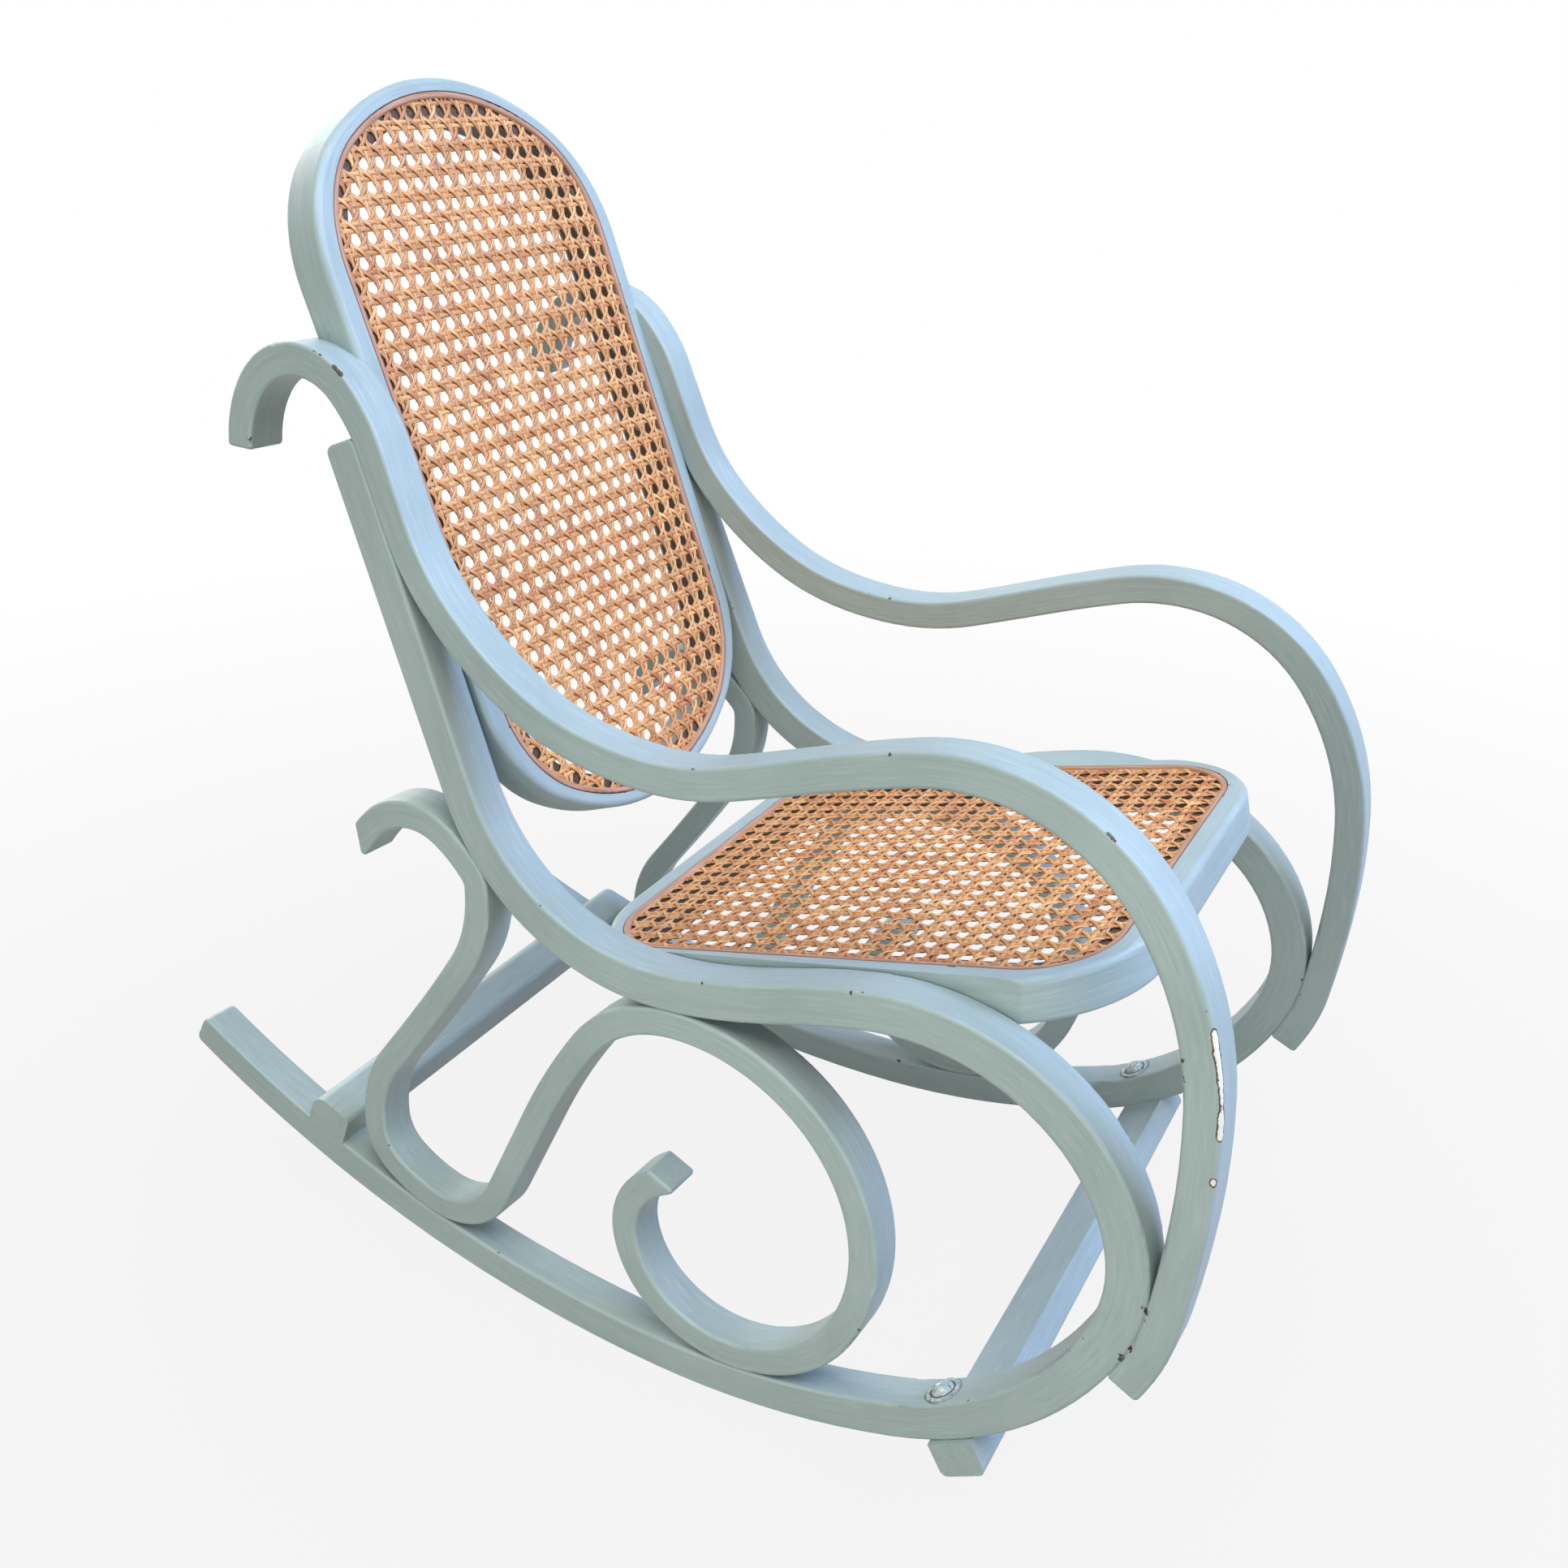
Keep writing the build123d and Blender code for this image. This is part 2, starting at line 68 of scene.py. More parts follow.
# The two caned openings: middle of the cane's top face, its normal, and the outline's sizes in mm
SEAT_MIDDLE = Vector((0, -118.648, 288.273))
SEAT_NORMAL = Vector((0, 0.245307, 0.969445))
SEAT_WIDTH = 279
SEAT_LENGTH = 297
SEAT_CORNER = 46
BACK_MIDDLE = Vector((0, 142.738, 487.461))
BACK_NORMAL = Vector((0, -0.93358, 0.358368))
BACK_WIDTH = 236.67
BACK_HEIGHT = 421
BACK_CORNER = 78
BACK_CROWN = 155
SPLINE_WIDTH = 4

# The weave, in mm
PITCH = 12.7
PAIR_GAP = 3.2
STRAND_WIDTH = 2.8
SLANT_WIDTH = 2.5
STRAND_THICK = 0.9
WEAVE_RISE = 0.42
SLANT_RISE = 1.0
WEAVE_DEPTH = 0.8
STRAND_STEP = 1.6
SHORTEST_STRAND = 4
BACK_ROW_SHIFT = 8.8

# A strand's section: across in shares of its width, up in shares of its thickness
STRAND_PROFILE = [(-0.5, -0.05), (-0.32, 0.36), (0, 0.5), (0.32, 0.36), (0.5, -0.05), (0, -0.32)]

# At the spline a strand keeps this share of its rise. It regains a whole rise in this many mm.
EDGE_RISE = 0.35
EDGE_REGAIN = 14

# How strands differ: middle and spread of the tone, least and most share of the width, sway in mm
TONE_MIDDLE = 0.45
TONE_SPREAD = 0.3
WIDTH_LEAST = 0.92
WIDTH_MOST = 1.07
SWAY = 0.2
SEAT_SEED = 11
BACK_SEED = 12

# Fibre pattern: mm to a step along a strand, steps to a mm across it, and the most a start is shifted
FIBRE_STRETCH = 30
FIBRE_ACROSS = 2.2
FIBRE_OFFSETS = 1000

# How far from a panel's middle strands are looked for, and in which steps, in mm
SEAT_FAR = 240
BACK_FAR = 260
SEARCH_STEP = 0.5

# How the flat side frames stand, and how the chair is then rocked to rest, with lengths in mm
REST_TURN = math.radians(-1.8)
REST_SHIFT = Vector((0, -6.143924, 0.097049))
HALF_WIDTH = 175.944
TOE_OUT = math.tan(math.radians(2.06))
CANT = math.tan(math.radians(2.07))
STRIP_WIDTH = 24
RAIL_THICK = 22
ARM_THICK = 18
SCROLL_THICK = 17

# Both rings, in mm: crest above the cane, depth, rim outside the opening, land inside the groove
RIM_CREST = 1
RING_DEPTH = 24
SEAT_RIM = 13.5
BACK_RIM = 11
LAND = 8

# Brush marks run round the rings at these radii, in mm, and count height this many times over width
SEAT_BRUSH_RADIUS = 150
BACK_BRUSH_RADIUS = 165
BRUSH_HEIGHT = 1.3

# The bolts' heads and the washers' holes are these shares of the washers' width
HEAD_SHARE = 0.65
HOLE_SHARE = 0.32

# Brush marks are this many times longer than they are wide
BRUSH_STRETCH = 16

# Pieces whose ends don't wear count as this far along, in mm
FAR_ALONG = 500

# Knocks on the right arm, in mm: across from the strip's middle, start and end along it, and half width
OUTER_SIDE = -12
WHITE_KNOCKS = [(-9.4, 728, 776, 2.2), (-7.3, 799.5, 800.5, 1.2)]
DARK_KNOCKS = [(-8.6, 91, 95, 1.2), (-8.4, 104, 108, 1.2), (-9.3, 621, 638, 1.2)]


def colour(red, green, blue):
    """A screen colour, 0 to 255, as the linear values that a shader takes."""
    parts = [value / 255 for value in (red, green, blue)]
    return [p / 12.92 if p < 0.04045 else ((p + 0.055) / 1.055) ** 2.4 for p in parts] + [1]


# Colours, as a screen shows them
PAINT_DEEP = colour(158, 175, 175)
PAINT_LIGHT = colour(168, 185, 186)
PALE_STREAK = colour(194, 207, 204)
DARK_STREAK = colour(128, 144, 140)
DULL_BAND = colour(144, 158, 154)
UNDERCOAT = colour(246, 242, 236)
BARE_DARK = colour(48, 35, 28)
BARE_LIGHT = colour(88, 66, 52)
CANE_DARK = colour(200, 128, 74)
CANE_LIGHT = colour(248, 190, 126)
CANE_RIND = colour(242, 212, 160)
CANE_LINE = colour(126, 74, 42)
CANE_STAIN = colour(160, 86, 58)
REED_DARK = colour(166, 118, 92)
REED_LIGHT = colour(202, 158, 130)
REED_JOINT = colour(112, 70, 56)
STEEL_PAINT = colour(158, 174, 174)
STEEL_BARE = colour(196, 202, 202)
STEEL_RUST = colour(62, 46, 40)
# Painted shade: the dark ring on the washers round the bolt heads
STEEL_HEAD_SHADE = colour(46, 40, 36)


class Shader:
    """A material with short calls that add nodes and join them."""

    def __init__(self, name):
        self.material = bpy.data.materials.new(name)
        self.material.use_nodes = True
        self.tree = self.material.node_tree
        self.skin = self.tree.nodes["Principled BSDF"]

    def add(self, kind, inputs, **settings):
        node = self.tree.nodes.new("ShaderNode" + kind)
        for key, value in settings.items():
            setattr(node, key, value)
        for key, value in inputs.items():
            self.put(node.inputs[key], value)
        return node

    def put(self, socket, value):
        if isinstance(value, bpy.types.NodeSocket):
            self.tree.links.new(value, socket)
        else:
            socket.default_value = value

    def finish(self, **sockets):
        for name, value in sockets.items():
            self.put(self.skin.inputs[name.replace("_", " ")], value)
        return self.material

    def attribute(self, name, output="Vector"):
        return self.add("Attribute", {}, attribute_name=name).outputs[output]

    def place(self):
        return self.add("TexCoord", {}).outputs["Object"]

    def parts(self, vector):
        return self.add("SeparateXYZ", {0: vector}).outputs

    def noise(self, vector, scale, detail=3, roughness=0.55):
        inputs = {"Vector": vector, "Scale": scale, "Detail": detail, "Roughness": roughness}
        return self.add("TexNoise", inputs).outputs["Fac"]

    def ramp(self, value, low, high, to_low=0.0, to_high=1.0):
        inputs = {"Value": value, "From Min": low, "From Max": high, "To Min": to_low, "To Max": to_high}
        return self.add("MapRange", inputs).outputs[0]

    def mix(self, share, first, second):
        node = self.add("Mix", {}, data_type="RGBA")
        self.put(node.inputs[0], share)
        self.put(node.inputs[6], first)
        self.put(node.inputs[7], second)
        return node.outputs[2]

    def maths(self, how, first, second=0.0):
        return self.add("Math", {0: first, 1: second}, operation=how).outputs[0]

    def gap(self, spot, start, end):
        """Distance from a spot to a stretch along the third axis, all in mm."""
        x, y, along = spot
        nearest = self.add("Clamp", {"Value": along, "Min": start[2], "Max": end}).outputs[0]
        parts = {
            0: self.maths("SUBTRACT", x, start[0]),
            1: self.maths("SUBTRACT", y, start[1]),
            2: self.maths("SUBTRACT", along, nearest),
        }
        away = self.add("CombineXYZ", parts).outputs[0]
        return self.add("VectorMath", {0: away}, operation="LENGTH").outputs["Value"]

    def bump(self, height, depth):
        return self.add("Bump", {"Height": height, "Distance": depth, "Strength": 1.0}).outputs[0]


# Middle lines of the bent strips, in the plane of a side frame, each arc in this many steps
ARC_STEPS = 14


def at(y, z, angle):
    """A station: a point of the middle line and the way the strip runs there."""
    turn = math.radians(angle)
    return Vector((y, z)), Vector((math.cos(turn), math.sin(turn)))


def left_of(way):
    return Vector((-way.y, way.x))


def bend(start, out, end):
    """Points of the arc that leaves one point in a given direction and reaches another."""
    chord = end - start
    half = math.atan2(chord.dot(left_of(out)), chord.dot(out))
    if abs(half) < 1e-6:
        return [start + chord * step / ARC_STEPS for step in range(ARC_STEPS)]
    radius = chord.length / (2 * math.sin(half))
    turns = [2 * half * step / ARC_STEPS for step in range(ARC_STEPS)]
    return [start + (out * math.sin(t) + left_of(out) * (1 - math.cos(t))) * radius for t in turns]


class MiddleLine:
    """A line through stations, each two joined by a pair of arcs."""

    def __init__(self, stations):
        points = []
        for (start, out), (end, into) in zip(stations, stations[1:]):
            chord = end - start
            both = chord.dot(out + into)
            spread = 2 * (1 - out.dot(into))
            if spread < 1e-9:
                reach = chord.dot(chord) / (2 * both)
            else:
                reach = (math.sqrt(both**2 + spread * chord.dot(chord)) - both) / spread
            meeting = (start + end + (out - into) * reach) / 2
            half = (meeting - start).normalized()
            points += bend(start, out, meeting) + bend(meeting, half * 2 * half.dot(out) - out, end)
        self.points = points + [stations[-1][0]]
        steps = [(b - a).length for a, b in zip(self.points, self.points[1:])]
        self.distances = np.concatenate([[0], np.cumsum(steps)])
        ahead = self.points[1:] + [self.points[-1]]
        behind = [self.points[0]] + self.points[:-1]
        self.ways = [(b - a).normalized() for a, b in zip(behind, ahead)]
        self.tree = KDTree(len(self.points))
        for index, point in enumerate(self.points):
            self.tree.insert((point.x, point.y, 0), index)
        self.tree.balance()

    def station(self, distance):
        index = int(np.searchsorted(self.distances, distance)) - 1
        share = (distance - self.distances[index]) / (self.distances[index + 1] - self.distances[index])
        place = self.points[index].lerp(self.points[index + 1], share)
        return place, (self.points[index + 1] - self.points[index]).normalized()

    def beside(self, place):
        """How far along the line a place is, and how far to its left."""
        _, index, _ = self.tree.find((place[0], place[1], 0))
        gap = Vector(place) - self.points[index]
        way = self.ways[index]
        return self.distances[index] + gap.dot(way), gap.dot(left_of(way))


POST_LENGTH = 197
POST_FOOT = at(94, 339, 70)
POST_TOP = (POST_FOOT[0] + POST_FOOT[1] * POST_LENGTH, POST_FOOT[1])
rail_line = MiddleLine([
    at(338.7, 112, 210),
    at(-33, RAIL_THICK / 2, 180),
    at(-294, 133, 116),
    at(-304, 192, 80),
    at(-202, 284, 7),
    at(-114, 271.5, -17),
    at(-30, 256, -1),
    POST_FOOT,
    POST_TOP,
])

# Distances along the rail where the other strips meet it
SCROLL_REAR_AT = 213
SCROLL_FRONT_AT = 446
ARM_TIP_AT = 688
ARM_FOOT_AT = 728
SCROLL_SEAT_AT = 1064
SCROLL_POST_AT = 1196
ARM_HIGH_AT = rail_line.distances[-1] - 11
ARM_LOW_AT = rail_line.distances[-1] - 49


def bearing(distance, hand, thickness, way):
    """A station of a strip that lies against the rail."""
    place, along = rail_line.station(distance)
    return place + left_of(along) * hand * (RAIL_THICK + thickness) / 2, along * way


def from_post_top(y, z, angle):
    """A station placed from the top end of the post."""
    place, way = at(y, z, angle)
    return place + POST_TOP[0], way


arm_line = MiddleLine([
    from_post_top(75.1, -11.2, 93),
    from_post_top(28.6, 40.2, 179),
    bearing(ARM_HIGH_AT, 1, ARM_THICK, -1),
    bearing(ARM_LOW_AT, 1, ARM_THICK, -1),
    at(55, 402, 212),
    at(-30, 378, 182),
    at(-131, 400.5, 162),
    at(-221, 416.5, 187),
    at(-329, 284, 265),
    bearing(ARM_FOOT_AT, 1, ARM_THICK, -1),
    bearing(ARM_TIP_AT, 1, ARM_THICK, -1),
])
scroll_line = MiddleLine([
    at(179.5, 283.2, 124),
    at(134, 317, 177),
    bearing(SCROLL_POST_AT, -1, SCROLL_THICK, -1),
    at(86, 271, 275),
    at(127, 192.5, 307),
    at(182, 91, 268),
    bearing(SCROLL_REAR_AT, -1, SCROLL_THICK, 1),
    at(51, 143, 116),
    bearing(SCROLL_SEAT_AT, -1, SCROLL_THICK, -1),
    at(-166, 137, 266),
    bearing(SCROLL_FRONT_AT, -1, SCROLL_THICK, -1),
    at(-12, 88, 84),
    at(-25, 124.2, 135),
    at(-47.5, 139.2, 150),
])


def write(mesh, name, values):
    """Store a vector for each vertex of a mesh, for its material to read."""
    flat = np.array(values, np.float32).ravel()
    mesh.attributes.new(name, "FLOAT_VECTOR", "POINT").data.foreach_set("vector", flat)


def write_number(mesh, name, values):
    """Store a number for each vertex of a mesh."""
    mesh.attributes.new(name, "FLOAT", "POINT").data.foreach_set("value", values)


def mark_strip(name, line, thickness):
    """Tell a bent strip's paint where it is, for its brush marks and its chips.

    The section runs from -1 to 1 across the strip and from its outer to its inner side.
    """
    mesh = nodes[name].data
    back = Matrix.Rotation(-REST_TURN, 3, "X")
    along_side = Vector((TOE_OUT, 1, 0)).normalized()
    inward = Vector((1, -TOE_OUT, -CANT)).normalized()
    up_side = inward.cross(along_side)
    hand = -1 if name.startswith("left") else 1
    brush, section = [], []
    for vertex in mesh.vertices:
        place = back @ (vertex.co / MM - REST_SHIFT)
        place = Vector((place.x * hand + HALF_WIDTH, place.y, place.z))
        along, across = line.beside((place.dot(along_side), place.dot(up_side)))
        through = place.dot(inward) - STRIP_WIDTH / 2
        brush.append((along / BRUSH_STRETCH, across, through * hand))
        section.append((across / thickness * 2, through / STRIP_WIDTH * 2, max(along, 0)))
    write(mesh, "brush", brush)
    write(mesh, "section", section)


def mark_bar(name):
    """Tell the paint of a straight bar, which runs from side to side, where it is."""
    mesh = nodes[name].data
    places = [vertex.co / MM for vertex in mesh.vertices]
    middle = sum(places, Vector()) / len(places)
    half_y = max(abs(p.y - middle.y) for p in places)
    half_z = max(abs(p.z - middle.z) for p in places)
    write(mesh, "brush", [(p.x / BRUSH_STRETCH, p.y, p.z) for p in places])
    section = [((p.y - middle.y) / half_y, (p.z - middle.z) / half_z, FAR_ALONG) for p in places]
    write(mesh, "section", section)


def mark_washers(name):
    """Tell the steel how far out each place of a washer is, from 0 in the middle to 1 at the rim."""
    mesh = nodes[name].data
    places = [vertex.co / MM for vertex in mesh.vertices]
    outs = np.zeros(len(places))
    for hand in (-1, 1):
        own = [index for index, p in enumerate(places) if p.x * hand > 0]
        middle = sum((places[index] for index in own), Vector()) / len(own)
        for index in own:
            outs[index] = (places[index] - middle).length
    write_number(mesh, "reach", outs / outs.max())


def flat_place(place, middle, normal):
    """A place of the chair, in mm, seen flat on a caned panel: across, up, and above the panel."""
    gap = place - middle
    upward = normal.cross(Vector((1, 0, 0)))
    return gap.x, gap.dot(upward), gap.dot(normal)


def mark_ring(name, middle, normal, reach, rim, radius):
    """Tell a ring's paint, which is brushed round it, where it is and how far outside the opening."""
    mesh = nodes[name].data
    brush, section, edges = [], [], []
    for vertex in mesh.vertices:
        x, y, height = flat_place(vertex.co / MM, middle, normal)
        turn = math.atan2(y, x)
        edge = reach(x, y)
        inner = -SPLINE_WIDTH - LAND if edge < -1 else 0
        round_it = Vector((math.cos(turn), math.sin(turn))) * radius / BRUSH_STRETCH
        brush.append((round_it.x, round_it.y, edge + height * BRUSH_HEIGHT))
        across = (edge - inner) / (rim - inner) * 2 - 1
        section.append((across, (height - RIM_CREST) / RING_DEPTH * 2 + 1, FAR_ALONG))
        edges.append(edge)
    write(mesh, "brush", brush)
    write(mesh, "section", section)
    write_number(mesh, "reach", edges)


# Outlines of the caned openings
def seat_reach(x, y):
    """Distance outside the seat's opening, negative inside it."""
    over_x = abs(x) - (SEAT_WIDTH / 2 - SEAT_CORNER)
    over_y = abs(y) - (SEAT_LENGTH / 2 - SEAT_CORNER)
    inside = min(max(over_x, over_y), 0)
    return math.hypot(max(over_x, 0), max(over_y, 0)) + inside - SEAT_CORNER


def back_reach(x, y):
    """Distance outside the back's opening: straight sides, corner arcs and a flatter crown arc."""
    x = abs(x)
    y = abs(y)
    side = BACK_WIDTH / 2 - BACK_CORNER
    crown = BACK_HEIGHT / 2 - BACK_CROWN
    shoulder = crown + math.sqrt((BACK_CROWN - BACK_CORNER) ** 2 - side**2)
    if y <= shoulder:
        return x - BACK_WIDTH / 2
    if x * (shoulder - crown) <= side * (y - crown):
        return math.hypot(x, y - crown) - BACK_CROWN
    return math.hypot(x - side, y - shoulder) - BACK_CORNER


# The woven panels
def pair_height(position, number):
    """Height of a strand that passes over one strand of each pair it meets and under the other."""
    beside = (position / PITCH - math.floor(position / PITCH) - 0.5) * PITCH
    swing = math.sin(math.pi * max(-1, min(1, beside / PAIR_GAP)))
    return WEAVE_RISE * swing * (1 if number % 2 else -1)


def slant_height(position):
    """Height of a slanting strand that passes over every upright pair and under every level pair."""
    return -SLANT_RISE * math.cos(2 * math.pi * position / PITCH)


class Weave:
    """A caned panel, woven strand by strand."""

    def __init__(self, reach, far, middle, normal, row_shift, seed):
        self.reach = reach
        self.far = far
        self.middle = middle
        self.normal = normal
        self.upward = normal.cross(Vector((1, 0, 0)))
        self.row_shift = row_shift
        self.random = random.Random(seed)
        self.vertices, self.faces, self.fibres, self.tones = [], [], [], []

    def inside(self, start, way):
        """The stretch of a line inside the opening, as far as the middle of the spline."""
        steps = np.arange(-self.far, self.far, SEARCH_STEP)
        edge = -SPLINE_WIDTH / 2
        kept = [s for s in steps if self.reach(start.x + way.x * s, start.y + way.y * s) < edge]
        return (kept[0], kept[-1]) if len(kept) > SHORTEST_STRAND / SEARCH_STEP else None

    def lay(self, start, way, width, height_at):
        """Lay one strand, domed on top, along a straight line."""
        ends = self.inside(start, way)
        if ends is None:
            return
        tone = self.random.gauss(TONE_MIDDLE, TONE_SPREAD)
        width *= self.random.uniform(WIDTH_LEAST, WIDTH_MOST)
        sway = self.random.uniform(-SWAY, SWAY)
        offset = self.random.uniform(0, FIBRE_OFFSETS)
        across = left_of(way)
        count = max(3, int((ends[1] - ends[0]) / STRAND_STEP))
        first = len(self.vertices)
        for step in range(count + 1):
            along = ends[0] + (ends[1] - ends[0]) * step / count
            line = start + way * along
            depth = -self.reach(line.x, line.y) - SPLINE_WIDTH / 2
            share = min(1, EDGE_RISE + depth / EDGE_REGAIN)
            rise = height_at(line.x, line.y - self.row_shift) * share
            for side, lift in STRAND_PROFILE:
                spot = line + across * (side * width + sway)
                height = rise + lift * STRAND_THICK - WEAVE_DEPTH
                place = self.middle + Vector((spot.x, 0, 0)) + self.upward * spot.y + self.normal * height
                self.vertices.append(place * MM)
                self.fibres.append((along / FIBRE_STRETCH + offset, side * width * FIBRE_ACROSS, offset))
                self.tones.append(tone)
        ring = len(STRAND_PROFILE)
        for low in range(first, first + count * ring, ring):
            for k in range(ring):
                following = (k + 1) % ring
                self.faces.append((low + k, low + ring + k, low + ring + following, low + following))
        self.faces.append([first + k for k in range(ring)])
        self.faces.append([first + count * ring + ring - 1 - k for k in range(ring)])

    def lay_all(self):
        """Lay the pairs that run up and across, and then both slanting sets."""
        number = int(self.far / PITCH) + 2
        for index in range(-number, number):
            for strand in (2 * index, 2 * index + 1):
                offset = (index + 0.5) * PITCH + (strand % 2 - 0.5) * PAIR_GAP
                self.lay(Vector((offset, 0)), Vector((0, 1)), STRAND_WIDTH,
                         lambda x, y: pair_height(y, strand))
                self.lay(Vector((0, offset + self.row_shift)), Vector((1, 0)), STRAND_WIDTH,
                         lambda x, y: -pair_height(x, strand))
        slope = math.sqrt(0.5)
        for index in range(-2 * number, 2 * number):
            offset = (index + 0.5) * PITCH
            rising = (offset - self.row_shift) / 2
            falling = (offset + self.row_shift) / 2
            self.lay(Vector((rising, -rising)), Vector((slope, slope)), SLANT_WIDTH,
                     lambda x, y: slant_height(x))
            self.lay(Vector((falling, falling)), Vector((slope, -slope)), SLANT_WIDTH,
                     lambda x, y: -slant_height(x))

    def make(self, name, material):
        """Weave the panel and put it in the scene."""
        self.lay_all()
        mesh = bpy.data.meshes.new(name)
        mesh.from_pydata(self.vertices, [], self.faces)
        write_number(mesh, "tone", self.tones)
        write(mesh, "fibre", self.fibres)
        mesh.shade_smooth()
        mesh.materials.append(material)
        panel = bpy.data.objects.new(name, mesh)
        bpy.context.scene.collection.objects.link(panel)
        return panel


# Materials
def brushed_tone(paint, place, streak, band):
    """Grey-blue paint: mottled, with the pale and dark streaks that a brush leaves."""
    cloud = paint.noise(place, 11, 3)
    tone = paint.mix(paint.ramp(cloud, 0.35, 0.65), PAINT_DEEP, PAINT_LIGHT)
    tone = paint.mix(paint.ramp(streak, 0.52, 0.8, 0, 0.5), tone, PALE_STREAK)
    tone = paint.mix(paint.ramp(streak, 0.47, 0.25, 0, 0.22), tone, DARK_STREAK)
    return paint.mix(paint.ramp(band, 0.5, 0.28, 0, 0.3), tone, DULL_BAND)


def bare_wood(paint, place):
    grit = paint.noise(place, 900, 2)
    return paint.mix(paint.ramp(grit, 0.4, 0.6), BARE_DARK, BARE_LIGHT)


def inside_ring(paint, through):
    """1 on a ring's walls inside its opening, which aren't painted, as far as the rear face."""
    inside = paint.ramp(paint.attribute("reach", "Fac"), -1.0, -2.0)
    ahead = paint.ramp(through, -1.0, -0.96)
    return paint.maths("MULTIPLY", inside, ahead)


def edge_chips(paint, place, section):
    """1 where paint is chipped: along edges, and more in worn stretches and near a strip's first end."""
    across, through, along = section
    from_face = paint.maths("SUBTRACT", 1.0, paint.maths("ABSOLUTE", across))
    from_side = paint.maths("SUBTRACT", 1.0, paint.maths("ABSOLUTE", through))
    edge = paint.maths("MULTIPLY", from_face, ARM_THICK / 2)
    edge = paint.maths("ADD", edge, paint.maths("MULTIPLY", from_side, STRIP_WIDTH / 2))
    knock = paint.noise(place, 170, 3, 0.6)
    worn = paint.ramp(paint.noise(place, 17, 1), 0.52, 0.68, 0, 0.14)
    tip = paint.ramp(along, 12, 0, 0, 0.16)
    chance = paint.maths("SUBTRACT", knock, paint.maths("MULTIPLY", edge, 0.05))
    chance = paint.maths("ADD", chance, paint.maths("ADD", worn, tip))
    return paint.ramp(chance, 0.70, 0.72)


def add_knocks(paint, place, section, chip, white_knocks, dark_knocks):
    """Add large knocks to the chips: dark ones show wood, and white ones the undercoat, with a dark rim."""
    across, through, along = section
    sideways = paint.maths("MULTIPLY", across, ARM_THICK / 2)
    inward = paint.maths("MULTIPLY", through, STRIP_WIDTH / 2)
    spot = (sideways, inward, along)
    ragged = paint.maths("MULTIPLY", paint.noise(place, 330, 2), 2.4)
    ragged = paint.maths("ADD", ragged, paint.ramp(paint.noise(place, 70, 1), 0.35, 0.65, -0.6, 0.6))
    white = 0.0
    for offset, start, end, half in dark_knocks:
        gap = paint.maths("ADD", paint.gap(spot, (offset, OUTER_SIDE, start), end), ragged)
        chip = paint.maths("MAXIMUM", chip, paint.ramp(gap, half + 1.1, half + 0.9))
    for offset, start, end, half in white_knocks:
        gap = paint.maths("ADD", paint.gap(spot, (offset, OUTER_SIDE, start), end), ragged)
        chip = paint.maths("MAXIMUM", chip, paint.ramp(gap, half + 1.9, half + 1.6))
        white = paint.maths("MAXIMUM", white, paint.ramp(gap, half + 1.2, half + 0.9))
    return chip, white


def painted_wood(name, white_knocks=(), dark_knocks=()):
    """Brushed satin paint, chipped along its edges, on wood that is bare inside the rings."""
    paint = Shader(name)
    place = paint.place()
    brush = paint.attribute("brush")
    section = paint.parts(paint.attribute("section"))
    streak = paint.noise(brush, 0.75, 3, 0.6)
    band = paint.noise(brush, 0.16, 3)
    bare = bare_wood(paint, place)

    tone = brushed_tone(paint, place, streak, band)
    tone = paint.mix(inside_ring(paint, section[1]), tone, bare)
    chip = edge_chips(paint, place, section)
    chip, white = add_knocks(paint, place, section, chip, white_knocks, dark_knocks)
    tone = paint.mix(chip, tone, bare)
    tone = paint.mix(white, tone, UNDERCOAT)

    marks = paint.maths("ADD", paint.maths("MULTIPLY", streak, 0.6), paint.maths("MULTIPLY", band, 1.4))
    height = paint.maths("SUBTRACT", marks, paint.maths("MULTIPLY", chip, 1.2))
    return paint.finish(
        Base_Color=tone,
        Roughness=paint.ramp(streak, 0.3, 0.7, 0.4, 0.54),
        Normal=paint.bump(height, 0.00022),
    )


def cane_fibre():
    """Split cane: each strand has its own tone, with a pale rind, fine lines along it and darker stains."""
    cane = Shader("cane")
    tone = cane.attribute("tone", "Fac")
    fibre = cane.attribute("fibre")
    lines = cane.noise(fibre, 1.1, 3, 0.6)
    stretches = cane.noise(fibre, 0.35, 2)
    stain = cane.noise(cane.place(), 55, 3)
    base = cane.mix(tone, CANE_DARK, CANE_LIGHT)
    base = cane.mix(cane.ramp(stretches, 0.5, 0.7, 0.0, 0.6), base, CANE_RIND)
    base = cane.mix(cane.ramp(lines, 0.47, 0.72, 0.0, 0.8), base, CANE_LINE)
    base = cane.mix(cane.ramp(stain, 0.5, 0.72, 0.0, 0.5), base, CANE_STAIN)
    return cane.finish(
        Base_Color=base,
        Roughness=cane.ramp(lines, 0.3, 0.7, 0.32, 0.5),
        Normal=cane.bump(lines, 0.00012),
    )


def brown_reed():
    """The reed that holds the cane's edge down: light brown, dark in the joint beside the rim."""
    reed = Shader("spline")
    lines = reed.noise(reed.attribute("brush"), 0.8, 3)
    tone = reed.mix(reed.ramp(lines, 0.3, 0.7), REED_DARK, REED_LIGHT)
    joint = reed.ramp(reed.attribute("reach", "Fac"), -1.2, -0.4)
    tone = reed.mix(joint, tone, REED_JOINT)
    return reed.finish(Base_Color=tone, Roughness=0.5, Normal=reed.bump(lines, 0.0002))


